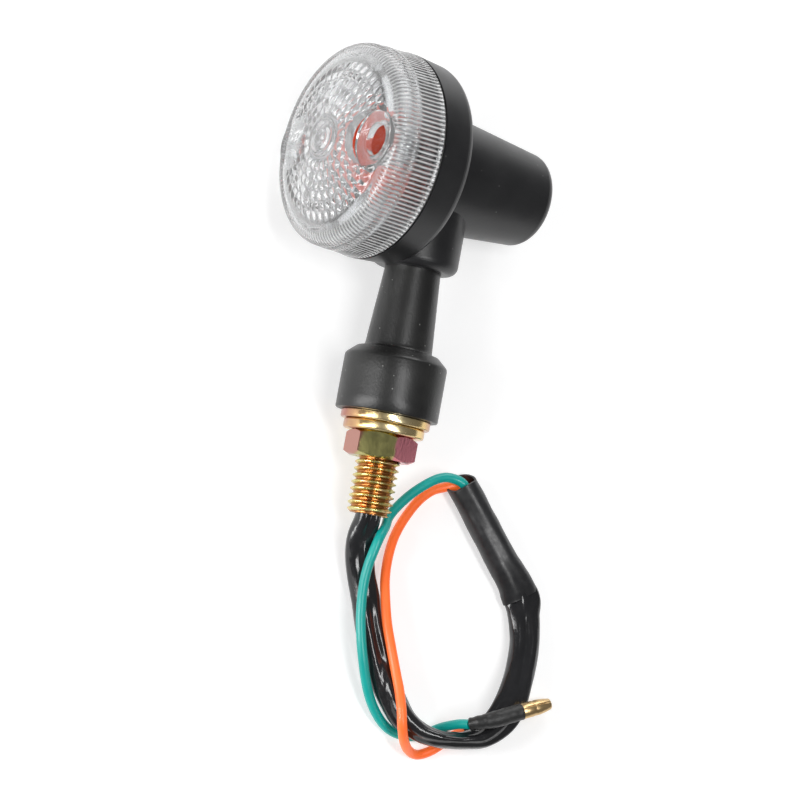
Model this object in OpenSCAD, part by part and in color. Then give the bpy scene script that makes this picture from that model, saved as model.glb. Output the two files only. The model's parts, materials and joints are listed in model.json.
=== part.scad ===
// Round motorcycle turn signal indicator with a flexible rubber stem, an M10 hollow stud and two leads.
// It lies on its side, as it is stored: the head rests on the drum's shoulder and on the tail's end,
// and the collar's edge carries the other end.  Units are millimetres and +Z is up.
//
// Each rigid piece is drawn in the lamp's own frame: the stem's axis is Z, Z = 0 is the collar's mounting
// face, the lens looks along -Y.  lay() then puts it down.  The leads are drawn where they lie.

/* [Head] */
// Height of the lamp's axis above the collar's mounting face
lamp_h = 55.5; // [50:0.5:65]
// Diameter of the lens and of the drum where they meet
head_d = 46.6; // [44:0.2:50]
// Distance from the stem's axis forward to the seam of the lens
seam_y = 14.6; // [13:0.1:16]
// Length of the lens's straight side
lens_side = 8.8; // [7:0.1:12]
// Radius of the lens's rounded front corner
lens_corner = 3; // [2:0.1:4]
// Height of the lens's domed face
dome_h = 3.5; // [2.5:0.1:4.5]
// Wall of the clear lens
lens_wall = 1.8; // [1.5:0.1:2.2]
// Distance of each lens screw from the lamp's axis
screw_x = 14.3; // [14:0.1:14.8]
// Length of the black drum behind the seam
drum_len = 9.1; // [8.5:0.1:11]
// Length of the tail behind the drum
tail_len = 33.3; // [31:0.1:38]
// Diameter of the tail where it leaves the drum
tail_d = 28; // [27:0.2:30]
// Diameter of the tail's rear end
tail_end_d = 21.7; // [21:0.1:24]
// Radius of the drum's shoulder and of the tail's rear edge
shoulder_r = 3; // [2.5:0.1:3.5]
// Wall of the housing
shell_wall = 1.7; // [1.4:0.1:1.9]

/* [Lamp] */
// Diameter of the amber bulb
bulb_d = 18; // [17:0.1:18.2]
// Diameter of the bulb's bayonet cap
cap_d = 15; // [14.9:0.05:15.2]
// How far the bulb pushes in against its contact spring
bulb_push = 2; // [1:0.1:2.5]

/* [Stem] */
// Diameter of the rubber collar
collar_d = 23; // [21:0.5:25]
// Height of the collar's straight side
collar_h = 12.4; // [11:0.1:14]
// Diameter of the neck where it rises from the collar
neck_d = 15; // [14:0.1:16]
// Diameter of the neck where it enters the housing
neck_top_d = 12.5; // [12:0.1:12.8]
// Height of the housing's lower lip above the mounting face
lip_h = 33; // [32:0.1:34]

/* [Fixings] */
// Thread diameter of the hollow stud
stud_d = 10; // [10:1:10]
// Length of stud below the mounting face
stud_len = 22.2; // [21:0.1:28]
// Bore of the stud
stud_bore = 6.2; // [5.5:0.1:6.4]
// Width of the nut across its flats
nut_af = 14; // [14:0.5:17]
// Height of the nut
nut_h = 5.7; // [5:0.1:8]
// Diameter of the flat washer
washer_d = 20; // [19:0.5:21]
// Thickness of the flat washer
washer_t = 1.9; // [1.6:0.1:2.2]
// Outer diameter of the spring washer
lock_d = 18.1; // [17:0.1:18.5]
// Thickness of the spring washer
lock_t = 2.2; // [2:0.1:2.8]

/* [Leads] */
// Diameter of each coloured lead
wire_d = 2.2; // [2:0.1:2.4]
// Diameter of the brass bullet terminals
bullet_d = 3.5; // [3.3:0.1:4]

/* [Hidden] */
$fn = 96;

black_plastic = [0.09, 0.09, 0.10];
black_rubber = [0.12, 0.12, 0.12];
yellow_zinc = [0.80, 0.64, 0.34];
brass = [0.85, 0.62, 0.30];
silver = [0.80, 0.81, 0.82];
clear = [0.86, 0.88, 0.90, 0.45];
teal = [0.10, 0.60, 0.56];
orange = [0.98, 0.42, 0.18];

head_r = head_d/2;
// places along the lamp's axis, measured from the stem's axis, + to the rear
seam_gap = 0.3;                              // half of the joint that the gasket fills
lens_back = -seam_y - seam_gap;
drum_front = -seam_y + seam_gap;
front_r = head_r - 0.4;                      // the lens's side draws in to the front
lens_front = lens_back - lens_side - lens_corner;
dome_r = 18.6;                               // where the dome meets the flat front ring
dome_ball = (dome_r*dome_r + dome_h*dome_h)/(2*dome_h);
dome_mid = lens_front - dome_h + dome_ball;
drum_back = drum_front + drum_len;
drum_back_r = head_r - 0.5;
tail_r = tail_d/2;
tail_end_r = tail_end_d/2;
tail_end = drum_back + tail_len;
drum_in_r = head_r - 1.8;
spigot_r = drum_in_r - 0.3;                  // the lens's spigot inside the drum
spigot_len = 3;
drum_floor = drum_back - shell_wall;
tail_in_r = tail_r - shell_wall - 0.4;
tail_in_end_r = tail_end_r - shell_wall;

// the lens's screws stand at the bottom of two funnels
funnel_r = 6.4;
funnel_tube_r = 3.3;
funnel_floor = lens_front + 8.2;
funnel_back = drum_front + 2.2;
post_wall = 1.1;
screw_shank_r = 1.5;
screw_head_r = 2.7;
screw_head_h = 1.8;
screw_len = 11.5;
boss_top = funnel_back + 0.2;
boss_r = 3.4;
pilot_r = 1.5;

// the bulb and its socket
bulb_mid = lens_front + 10.7;
bulb_r = bulb_d/2;
cap_r = cap_d/2;
cap_front = -7.5;
cap_back = 7.5;
contact_back = 8.3;
pin_r = 1;
pin_out = 1;
pin_y = 1.5;
shell_in_r = cap_r + 0.2;
shell_out_r = shell_in_r + 0.5;
shell_front = -5;
shell_back = 17;
disc_t = 2;
plunger_t = 1.5;
disc_front = contact_back + plunger_t;
disc_back = disc_front + disc_t;
spring_end = shell_back - 0.5;

// the stem
bevel_h = 2;
bevel_in = 2.3;
neck_base_h = collar_h + bevel_h + 0.3;
plug_len = 4.9;                              // how deep the neck plugs into the housing
stem_bore_r = 3.2;
stud_r = stud_d/2;
stud_top = 9;
stud_flange_r = 8.5;
stud_flange_h = [2.5, 5.5];
tube_r = 4;
tube_bore_r = 2.9;
tube_foot = 26;
tube_flange_r = 5;
tube_flange_t = 1.4;
socket_r = 9.8;                              // outer radius of the housing's boss round the stem
socket_round = 2.2;
lip_r = neck_top_d/2 + 0.12;
socket_floor = lip_h + 5;
socket_floor_t = 3;
tube_nut_af = 11;
tube_nut_h = 2.4;
tube_washer_t = 0.5;
tube_top = socket_floor + socket_floor_t + tube_washer_t + tube_nut_h + 0.4;

// the stud's fixings, below the mounting face
washer_bore_r = 5.25;
lock_bore_r = 5.1;
nut_bore_r = 5.05;
nut_turn = -13.4;                            // how the nut happens to stand on its thread
lock_top = -washer_t;
nut_top = lock_top - lock_t;
nut_bottom = nut_top - nut_h;
groove_h = 1.2;                              // a turned relief parts the free end from the clamped stretch
groove_r = 4.5;
stud_chamfer = 0.8;

// How the lamp lies.  Its weight rests on the drum's shoulder, the tail's rear edge and the collar's edge.
shoulder_ring = drum_back_r - shoulder_r;
shoulder_y = drum_back - shoulder_r;
tail_ring = tail_end_r - shoulder_r;
tail_y = tail_end - shoulder_r;
dip = atan((shoulder_ring - tail_ring)/(tail_y - shoulder_y));
head_low = shoulder_ring*cos(dip) + shoulder_r + shoulder_y*sin(dip);
collar_r = collar_d/2;
lean = asin(head_low/norm([lamp_h, collar_r])) - atan2(collar_r, lamp_h);
roll = asin(sin(dip)/cos(lean));
rest_lift = collar_r*cos(lean);
rest_shift = [27.4, 1.5];                    // brings the middle of the lamp's footprint to the origin

module lay() {
    translate([rest_shift[0], rest_shift[1], rest_lift])
        rotate([0, lean, 0]) rotate([-roll, 0, 0]) rotate([0, -90, 0]) children();
}

// children drawn round Z are put on the lamp's axis, with +Z to the rear
module on_lamp_axis() {
    lay() translate([0, 0, lamp_h]) rotate([-90, 0, 0]) children();
}

module at_screws() {
    for (side = [-1, 1]) translate([side*screw_x, 0, 0]) children();
}

function arc(x, y, r, from, to, steps = 8) =
    [for (i = [0:steps]) let (a = from + (to - from)*i/steps) [x + r*cos(a), y + r*sin(a)]];

module ring(outer, inner, low, high) {
    translate([0, 0, low]) difference() {
        cylinder(r = outer, h = high - low);
        translate([0, 0, -1]) cylinder(r = inner, h = high - low + 2);
    }
}

// the lens's outline at a depth below its surface, from the axis outwards
function lens_line(in) = concat(
    [for (i = [0:10]) let (a = asin(dome_r/dome_ball)*i/10)
        [(dome_ball - in)*sin(a), dome_mid - (dome_ball - in)*cos(a)]],
    arc(front_r - lens_corner, lens_front + lens_corner, lens_corner - in, -90, 0),
    [[head_r - in, lens_back]]);

module lens() {
    color(clear) on_lamp_axis() {
        difference() {
            union() {
                rotate_extrude() polygon(concat(lens_line(0), [[0, lens_back]]));
                ring(spigot_r, spigot_r - 1.2, lens_back - 1, lens_back + spigot_len);
            }
            difference() {
                rotate_extrude() polygon(concat(lens_line(lens_wall), [[spigot_r - 1.2, lens_back],
                    [spigot_r - 1.2, lens_back + spigot_len + 1], [0, lens_back + spigot_len + 1]]));
                at_screws() funnel(post_wall);
            }
            at_screws() funnel(0);
        }
        difference() {
            at_screws() translate([0, 0, funnel_floor])
                cylinder(r = funnel_tube_r + post_wall, h = funnel_back - funnel_floor);
            at_screws() funnel(0);
        }
    }
}

// the funnel that takes a screw: its hollow, or its outside when it is given a wall
module funnel(wall) {
    mouth = lens_front - dome_h;
    rotate_extrude() polygon([[0, mouth], [funnel_r + wall, mouth], [funnel_r + wall, lens_front + 1.2],
        [funnel_tube_r + wall, lens_front + 4.6], [funnel_tube_r + wall, funnel_floor + wall],
        [0, funnel_floor + wall]]);
    if (wall == 0) translate([0, 0, mouth]) cylinder(r = screw_shank_r + 0.25, h = funnel_back - mouth + 1);
}

module lens_gasket() {
    color("dimgray") on_lamp_axis() ring(head_r - 0.4, drum_in_r + 0.1, lens_back + 0.05, drum_front);
}

module lens_screws() {
    color(silver) on_lamp_axis() at_screws() translate([0, 0, funnel_floor]) difference() {
        union() {
            translate([0, 0, -screw_head_h]) rotate_extrude() polygon(concat([[0, screw_head_h]],
                [[screw_head_r, screw_head_h]], arc(screw_head_r - 1, 1, 1, 0, -90, 5), [[0, 0]]));
            cylinder(r = screw_shank_r - 0.05, h = screw_len - 1.5);
            translate([0, 0, screw_len - 1.5]) cylinder(r1 = screw_shank_r - 0.05, r2 = 0.4, h = 1.5);
        }
        for (turn = [0, 90]) rotate(turn) translate([-1.6, -0.3, -screw_head_h - 1]) cube([3.2, 0.6, 2.1]);
    }
}

module reflector() {
    rim_y = lens_back + spigot_len + 0.4;
    hole_r = shell_out_r + 0.5;
    color(silver) on_lamp_axis() difference() {
        rotate_extrude() polygon([[drum_in_r - 0.2, rim_y], [drum_in_r - 0.2, rim_y + 0.8],
            [hole_r + 1, drum_floor - 0.1], [hole_r, drum_floor - 0.1], [hole_r, drum_floor - 0.9],
            [hole_r + 0.8, drum_floor - 0.9], [drum_in_r - 1.4, rim_y]]);
        at_screws() translate([0, 0, rim_y - 1]) cylinder(r = boss_r + 0.4, h = 10);
    }
}

module housing() {
    color(black_plastic) {
        difference() {
            union() {
                on_lamp_axis() rotate_extrude() polygon(concat(
                    [[0, drum_front], [head_r, drum_front]],
                    arc(shoulder_ring, shoulder_y, shoulder_r, 0, 90),
                    [[tail_r, drum_back]],
                    arc(tail_ring, tail_y, shoulder_r, 0, 90),
                    [[0, tail_end]]));
                // boss that takes the stem
                lay() rotate_extrude() polygon(concat([[0, lamp_h - 8], [0, lip_h]],
                    arc(socket_r - socket_round, lip_h + socket_round, socket_round, -90, 0),
                    [[socket_r, lamp_h - 8]]));
            }
            on_lamp_axis() rotate_extrude() polygon([[0, drum_front - 1], [drum_in_r, drum_front - 1],
                [drum_in_r, drum_floor], [tail_in_r, drum_floor],
                [tail_in_end_r, tail_end - shell_wall], [0, tail_end - shell_wall]]);
            lay() translate([0, 0, lip_h - 1]) cylinder(r = lip_r, h = socket_floor - lip_h + 1);
            lay() translate([0, 0, lip_h]) cylinder(r = tube_r + 0.1, h = lamp_h - lip_h - 6);
            lay() translate([0, 0, socket_floor + socket_floor_t]) cylinder(r = 6.6, h = 8);
        }
        // two bosses for the lens screws
        on_lamp_axis() difference() {
            at_screws() translate([0, 0, boss_top]) cylinder(r = boss_r, h = drum_floor - boss_top + 0.4);
            at_screws() translate([0, 0, boss_top - 1]) cylinder(r = pilot_r, h = drum_floor - boss_top + 1);
        }
        // ribs that hold the lamp socket in the tail
        on_lamp_axis() difference() {
            for (turn = [45, 135, 225, 315]) rotate(turn)
                translate([0, -0.8, 2]) cube([tail_in_r - 0.6, 1.6, 11]);
            translate([0, 0, 1]) cylinder(r = shell_out_r, h = 13);
        }
    }
}

module bulb_glass() {
    neck = 5.6;
    fade = sqrt(bulb_r*bulb_r - neck*neck);
    color([0.95, 0.38, 0.08, 0.75]) on_lamp_axis() difference() {
        rotate_extrude() polygon(concat(
            [for (i = [0:14]) let (a = -90 + (asin(fade/bulb_r) + 90)*i/14)
                [bulb_r*cos(a), bulb_mid + bulb_r*sin(a)]],
            [[neck + 0.6, cap_front - 0.6], [neck + 0.6, cap_front + 3], [0, cap_front + 3]]));
        rotate_extrude() polygon(concat(
            [for (i = [0:14]) let (a = -90 + (asin(fade/bulb_r) + 90)*i/14)
                [(bulb_r - 0.6)*cos(a), bulb_mid + (bulb_r - 0.6)*sin(a)]],
            [[neck - 0.3, cap_front - 0.6], [neck - 0.3, cap_front + 2], [0, cap_front + 2]]));
    }
}

module bulb_cap() {
    color(brass) on_lamp_axis() {
        difference() {
            translate([0, 0, cap_front]) cylinder(r = cap_r, h = cap_back - cap_front);
            translate([0, 0, cap_front - 1]) cylinder(r = cap_r - 0.9, h = 4.2);
            translate([0, 0, cap_front + 4]) cylinder(r = cap_r - 0.9, h = cap_back - cap_front - 5);
            translate([0, 0, cap_back - 2]) cylinder(r = 2.6, h = 3);
        }
        for (side = [-1, 1]) translate([side*(cap_r - 0.5), 0, pin_y]) rotate([0, side*90, 0])
            cylinder(r = pin_r, h = 0.5 + pin_out);
    }
}

module bulb_contact() {
    color("silver") on_lamp_axis() {
        translate([0, 0, cap_back - 1]) cylinder(r = 2.6, h = 1.2);
        translate([0, 0, cap_back + 0.2]) cylinder(r1 = 1.9, r2 = 1.3, h = contact_back - cap_back - 0.2);
    }
}

module bulb_filament() {
    coil_y = bulb_mid + 0.5;
    color("gray") on_lamp_axis() {
        translate([0, 0, cap_front + 0.4]) cylinder(r = 2.2, h = 1.6);
        for (side = [-1, 1]) translate([side*1.9, 0, coil_y]) cylinder(r = 0.25, h = cap_front + 1 - coil_y);
        translate([-2.1, 0, coil_y]) rotate([0, 90, 0]) cylinder(r = 0.35, h = 4.2);
    }
}

module lamp_socket() {
    slot = 2*pin_r + 0.5;
    color(silver) on_lamp_axis() difference() {
        union() {
            ring(shell_out_r, shell_in_r, shell_front, shell_back);
            ring(shell_in_r + 0.1, 2.4, spring_end, shell_back);
        }
        // J slots: in along the shell, round, and back to the notch where the pin rests
        for (turn = [0, 180]) rotate(turn) {
            translate([cap_r - 1, -slot/2, pin_y - slot/2]) cube([3, slot, slot + bulb_push]);
            intersection() {
                translate([0, 0, pin_y - slot/2 + bulb_push]) ring(shell_out_r + 1, cap_r - 1, 0, slot);
                translate([0, -6, pin_y - slot/2 + bulb_push]) cube([12, 6, slot]);
            }
            translate([3, -7.5, shell_front - 1])
                cube([4.6, slot, pin_y + bulb_push + slot/2 - shell_front + 1]);
        }
    }
}

module plunger_disc() {
    color("saddlebrown") on_lamp_axis() ring(shell_in_r - 0.25, 1.2, disc_front, disc_back);
}

module contact_plunger() {
    color(brass) on_lamp_axis() {
        translate([0, 0, contact_back]) cylinder(r = 2.4, h = plunger_t);
        translate([0, 0, disc_front]) cylinder(r = 1.2, h = disc_t + 1.6);
    }
}

module contact_spring() {
    color(silver) on_lamp_axis() ring(4.6, 3.6, disc_back, spring_end);
}

module stem_tube() {
    color(silver) lay() difference() {
        union() {
            translate([0, 0, tube_foot]) cylinder(r = tube_r, h = tube_top - tube_foot);
            translate([0, 0, tube_foot]) cylinder(r = tube_flange_r, h = tube_flange_t);
        }
        translate([0, 0, tube_foot - 1]) cylinder(r = tube_bore_r, h = tube_top - tube_foot + 2);
    }
}

module stem_tube_washer() {
    top = socket_floor + socket_floor_t;
    color(silver) lay() ring(5.8, tube_r, top, top + tube_washer_t);
}

module stem_tube_nut() {
    low = socket_floor + socket_floor_t + tube_washer_t;
    color(yellow_zinc) lay() translate([0, 0, low]) difference() {
        cylinder(d = tube_nut_af/cos(30), h = tube_nut_h, $fn = 6);
        translate([0, 0, -1]) cylinder(r = tube_r, h = tube_nut_h + 2);
    }
}

module rubber_stem() {
    color(black_rubber) lay() difference() {
        rotate_extrude() polygon([[0, 0], [collar_r, 0], [collar_r, collar_h],
            [collar_r - bevel_in, collar_h + bevel_h], [neck_d/2 + 0.6, neck_base_h - 0.1],
            [neck_d/2, neck_base_h + 0.4], [neck_top_d/2, lip_h], [neck_top_d/2, lip_h + plug_len],
            [0, lip_h + plug_len]]);
        stud_body();
        translate([0, 0, stud_top - 1]) cylinder(r = stem_bore_r, h = tube_foot - stud_top + 2);
        translate([0, 0, tube_foot]) cylinder(r = tube_flange_r, h = tube_flange_t);
        translate([0, 0, tube_foot]) cylinder(r = tube_r, h = 20);
    }
}

// the stud's solid outside: thread, flange inside the collar and the relief under the nut
module stud_body() {
    relief = nut_bottom - groove_h;
    translate([0, 0, nut_bottom]) cylinder(r = stud_r, h = stud_top - nut_bottom);
    translate([0, 0, stud_flange_h[0]]) cylinder(r = stud_flange_r, h = stud_flange_h[1] - stud_flange_h[0]);
    translate([0, 0, relief - 0.5]) cylinder(r = groove_r, h = groove_h + 1);
    translate([0, 0, stud_chamfer - stud_len]) cylinder(r = stud_r, h = relief + stud_len - stud_chamfer);
    translate([0, 0, -stud_len]) cylinder(r1 = stud_r - stud_chamfer, r2 = stud_r, h = stud_chamfer);
}

module hollow_stud() {
    color(yellow_zinc) lay() difference() {
        stud_body();
        translate([0, 0, -stud_len - 1]) cylinder(d = stud_bore, h = stud_len + stud_top + 2);
    }
}

module flat_washer() {
    color(yellow_zinc) lay() ring(washer_d/2, washer_bore_r, -washer_t, 0);
}

module spring_washer() {
    edge = 0.5;
    color(yellow_zinc) lay() difference() {
        rotate_extrude() polygon([[lock_bore_r, nut_top], [lock_d/2 - edge, nut_top],
            [lock_d/2, nut_top + edge], [lock_d/2, lock_top - edge], [lock_d/2 - edge, lock_top],
            [lock_bore_r, lock_top]]);
        translate([0, 0, nut_top - 1]) rotate([0, 0, 200]) translate([3, -0.6, 0]) cube([8, 1.2, lock_t + 2]);
    }
}

module hex_nut() {
    corner_r = nut_af/2/cos(30);
    flat_r = nut_af/2 - 0.3;
    bevel = (corner_r - flat_r)*tan(30);
    color(yellow_zinc) lay() difference() {
        intersection() {
            translate([0, 0, nut_bottom]) rotate([0, 0, nut_turn]) cylinder(r = corner_r, h = nut_h, $fn = 6);
            rotate_extrude() polygon([[0, nut_bottom], [flat_r, nut_bottom],
                [corner_r + 0.01, nut_bottom + bevel], [corner_r + 0.01, nut_top - bevel],
                [flat_r, nut_top], [0, nut_top]]);
        }
        translate([0, 0, nut_bottom - 1]) cylinder(r = nut_bore_r, h = nut_h + 2);
    }
}

// ---- leads ----
// A route is a list of rows [x, y, z, half width, half height], with round numbers chosen along the way.

// a smooth stretch between the second and third of four rows
function blend_rows(a, b, c, d, t) =
    0.5*(2*b + (c - a)*t + (2*a - 5*b + 4*c - d)*t*t + (3*b - a - 3*c + d)*t*t*t);
function row_at(rows, i) = rows[max(0, min(len(rows) - 1, i))];
function rings_along(rows, count) = [for (k = [0:count - 1])
    let (u = k*(len(rows) - 1)/(count - 1), i = min(floor(u), len(rows) - 2))
    blend_rows(row_at(rows, i - 1), rows[i], rows[i + 1], row_at(rows, i + 2), u - i)];
function unit(v) = v/norm(v);
function place(row) = [row[0], row[1], row[2]];

// an oval tube through count rings along the rows
module sweep(rows, count, sides) {
    way = rings_along(rows, count);
    last = count - 1;
    points = [for (k = [0:last])
        let (along = unit(place(way[min(k + 1, last)]) - place(way[max(k - 1, 0)])),
            side = unit(cross(along, abs(along[2]) > 0.9 ? [0, 1, 0] : [0, 0, 1])), up = cross(side, along))
        for (j = [0:sides - 1]) let (a = 360*(j + 0.5)/sides)
            place(way[k]) + side*way[k][3]*cos(a) + up*way[k][4]*sin(a)];
    skin = [for (k = [0:last - 1]) for (j = [0:sides - 1]) let (n = (j + 1) % sides)
        [k*sides + j, k*sides + n, (k + 1)*sides + n, (k + 1)*sides + j]];
    polyhedron(points, concat([[for (j = [sides - 1:-1:0]) j]], skin,
        [[for (j = [0:sides - 1]) last*sides + j]]));
}

wire_r = wire_d/2;

// inside the lamp, in the lamp's own frame, from the contact down to the stud
inner_r = 0.75;
module inner_lead(x) {
    w = [inner_r, inner_r];
    y = shell_back + 0.8;
    lay() sweep([
        concat([x, y, lamp_h], w), concat([x, y + 1.8, lamp_h - 0.4], w),
        concat([x, y + 2.6, lamp_h - 3.4], w), concat([x, y + 1.8, lamp_h - 7], w),
        concat([x, y - 0.2, lamp_h - 8.8], w), concat([x, y - 3, lamp_h - 9.1], w),
        concat([x, 9, lamp_h - 9.4], w), concat([x, 5, lamp_h - 9.6], w),
        concat([x, 2.2, lamp_h - 9.9], w), concat([x, 0.6, lamp_h - 11], w),
        concat([x, 0, lamp_h - 13.5], w), concat([x, 0, lip_h], w), concat([x, 0, 8], w),
        concat([x, 0, 4 - stud_len], w)], 32, 8);
}
module inner_lead_green() { color(teal) inner_lead(-1.2); }
module inner_lead_orange() { color(orange) inner_lead(1.2); }

// lying on the table
sleeve_route = [
    [45.8, 1.5, 8.8, 2.95, 2.95], [49.8, 1.5, 8.2, 2.95, 2.95], [53.4, 1.4, 6.5, 3.3, 2.8],
    [57.2, 1.9, 4.9, 3.4, 2.9], [61.7, 3.1, 3.8, 3.3, 3.1], [67.2, 5.2, 3.4, 3.3, 3.3],
    [73.7, 7.2, 3.4, 3.3, 3.3], [79.2, 9.4, 3.5, 3.3, 3.3], [84.2, 11.9, 3.9, 3.3, 3.3],
    [88.2, 14.4, 4.5, 3.2, 3.3], [91.8, 17.2, 5.3, 2.9, 3.4], [94.1, 20.9, 5.8, 2.4, 3.5],
    [94.9, 24.7, 6, 2.1, 3.6], [94.9, 28.2, 6, 2, 3.6], [94.3, 31.7, 6, 2.1, 3.6],
    [93, 35.2, 6.1, 2.8, 3.2], [90.1, 38.1, 6.2, 3.6, 2.4], [86.4, 40.4, 6.4, 3.9, 2.3],
    [81.6, 42, 5.5, 3.7, 2.7], [76.2, 43.2, 3.9, 3.5, 3.1], [70.2, 43.5, 3.3, 3.5, 3.1],
    [64.7, 42.7, 2.9, 3.8, 2.7], [60.6, 41.9, 2.5, 4.5, 2.2], [57.2, 39.4, 3.1, 3.8, 2.4]];
end_sleeve_route = [
    [60.2, 41.4, 2.5, 4.5, 2.3], [57.2, 39.3, 3.1, 4.2, 2.9], [53.2, 35.7, 3.6, 3.8, 3.5],
    [48.2, 31.7, 3.8, 3.7, 3.7], [43.2, 27.9, 3.8, 3.6, 3.6], [37.7, 23.6, 3.8, 3.6, 3.6]];

module lead_sleeve() { color(black_plastic) sweep(sleeve_route, 23, 10); }
module end_sleeve() { color(black_plastic) sweep(end_sleeve_route, 6, 10); }

function wire_rows(places) = [for (p = places) [p[0], p[1], p[2], wire_r, wire_r]];
green_route = [
    [37.8, 23.7, 4.9], [37, 21.3, 5], [37.2, 18.7, 5.2], [38.8, 15.7, 5.4], [42.2, 11.8, 5.4],
    [45.8, 8.8, 5.4], [48.6, 7.1, 5.7], [51, 6.2, 7.3], [54, 4.6, 9.5], [57.5, 3.7, 9.2], [60.7, 3.2, 8.4],
    [64.2, 3, 7.9], [68.2, 3.1, 7.7], [72.7, 3.6, 7.5], [77.2, 4.5, 7.3], [81.2, 5.7, 6.7],
    [85.2, 7.3, 5.5], [88.7, 9.2, 4.2], [91.8, 11.7, 2.9], [94.1, 14.7, 1.8], [95.1, 18.2, 1.2],
    [94.9, 21.7, 1.1], [93.8, 24.4, 1.2], [92.4, 26.6, 1.9], [91.6, 28.2, 3.9], [91.1, 29.8, 6.4],
    [91, 31.4, 8.8]];
orange_route = [
    [38, 23.7, 2.6], [38.1, 22.1, 2.6], [38.8, 20.1, 2.4], [40.2, 17.2, 2.3], [43.2, 14.3, 2.3],
    [47.7, 11.7, 2.4], [52.2, 9.9, 2.8], [57.2, 8.9, 3.6], [62.2, 8.6, 4.7], [67.2, 9.1, 5.8],
    [72.2, 10, 6.6], [77.2, 11.4, 7.4], [82.2, 13, 7.9], [86.7, 14.3, 8.8], [90.7, 15.1, 9.6],
    [94.2, 15.9, 9.2], [96.9, 17.6, 6.6], [98.4, 20.1, 3], [98.8, 22.7, 1.3], [97.6, 25.5, 1.1],
    [95.7, 27.9, 1.1], [93.6, 30.1, 1.1], [92, 32.7, 1.2]];
module wire_green() { color(teal) sweep(wire_rows(green_route), 22, 8); }
module wire_orange() { color(orange) sweep(wire_rows(orange_route), 21, 8); }

// heat-shrink boots over the crimps, and the bullets at their ends
boot_r = 1.85;
boot_green_route = [
    [91, 31.4, 8.8, 1.4, 1.4], [90.2, 33.6, 10.2, 1.6, 1.6], [89.1, 36.5, 10.9, boot_r, boot_r],
    [87.8, 39.3, 11, boot_r, boot_r], [86.5, 42.2, 10.9, boot_r, boot_r]];
boot_orange_route = [
    [92, 32.7, 1.2, 1.2, 1.2], [90.3, 35.8, 1.6, 1.5, 1.5], [88.2, 39.2, 1.85, boot_r, boot_r],
    [86.8, 42.4, 1.85, boot_r, boot_r], [85.4, 45.5, 1.85, boot_r, boot_r]];
module boot_green() { color(black_plastic) sweep(boot_green_route, 5, 8); }
module boot_orange() { color(black_plastic) sweep(boot_orange_route, 5, 8); }

// a bullet that starts at a place and points along a heading and a pitch
bullet_len = 7;
module bullet(from, heading, pitch) {
    r = bullet_d/2;
    color(brass) translate(from) rotate([0, 90 - pitch, heading]) difference() {
        union() {
            cylinder(r = r, h = 4.6);
            translate([0, 0, 4.6]) cylinder(r1 = r, r2 = r - 0.35, h = bullet_len - 4.6);
        }
        translate([0, 0, bullet_len - 3]) cylinder(r = 0.7, h = 4);
    }
}
module bullet_green() { bullet([86.5, 42.2, 10.9], 113.5, -2); }
module bullet_orange() { bullet([85.4, 45.5, 1.85], 114, 0); }

lens();
lens_gasket();
lens_screws();
reflector();
housing();
bulb_glass();
bulb_cap();
bulb_contact();
bulb_filament();
lamp_socket();
plunger_disc();
contact_plunger();
contact_spring();
stem_tube();
stem_tube_washer();
stem_tube_nut();
rubber_stem();
hollow_stud();
flat_washer();
spring_washer();
hex_nut();
inner_lead_green();
inner_lead_orange();
lead_sleeve();
end_sleeve();
wire_green();
wire_orange();
boot_green();
boot_orange();
bullet_green();
bullet_orange();
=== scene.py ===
import json
import math

import bpy
import bmesh
from mathutils import Matrix, Vector, noise


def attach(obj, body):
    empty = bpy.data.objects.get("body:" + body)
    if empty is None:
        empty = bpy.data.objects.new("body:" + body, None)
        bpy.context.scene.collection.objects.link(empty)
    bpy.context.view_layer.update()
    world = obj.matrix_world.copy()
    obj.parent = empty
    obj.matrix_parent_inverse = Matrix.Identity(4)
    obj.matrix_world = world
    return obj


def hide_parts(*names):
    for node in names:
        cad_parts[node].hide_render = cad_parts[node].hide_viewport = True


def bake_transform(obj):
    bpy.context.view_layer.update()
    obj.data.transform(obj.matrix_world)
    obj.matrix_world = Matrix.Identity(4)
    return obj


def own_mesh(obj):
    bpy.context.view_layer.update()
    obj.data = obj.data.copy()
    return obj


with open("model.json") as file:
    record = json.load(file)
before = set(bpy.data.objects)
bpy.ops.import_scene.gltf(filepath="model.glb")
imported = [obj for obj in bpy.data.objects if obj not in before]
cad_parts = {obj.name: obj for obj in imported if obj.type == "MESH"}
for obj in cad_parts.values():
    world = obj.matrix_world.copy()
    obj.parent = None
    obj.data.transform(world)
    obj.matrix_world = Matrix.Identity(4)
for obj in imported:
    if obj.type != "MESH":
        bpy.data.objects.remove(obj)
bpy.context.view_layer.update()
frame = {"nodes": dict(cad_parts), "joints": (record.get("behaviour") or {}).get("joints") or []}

MM = 0.001

# ---------------------------------------------------------------- the lamp's own frame
joints = {j["name"]: j for j in frame["joints"]}
UP = -Vector(joints["nut_travel"]["axis"])          # up the stem, towards the head
REAR = -Vector(joints["lens_off"]["axis"])          # along the lamp's axis, away from the lens
SIDE = REAR.cross(UP)
PIVOT_H = 0.020                                     # the flex joint stands this far up the stem
SEAT = Vector(joints["stem_flex"]["pos_m"]) - UP * PIVOT_H
LAMP = Matrix((SIDE, REAR, UP)).transposed().to_4x4()
LAMP.translation = SEAT
LAMP_H = 55.5
AXIS = LAMP @ Matrix.Translation((0, 0, LAMP_H * MM)) @ Matrix.Rotation(-math.pi / 2, 4, "X")
SHIFT = Vector((SEAT.x, SEAT.y, 0))


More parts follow.
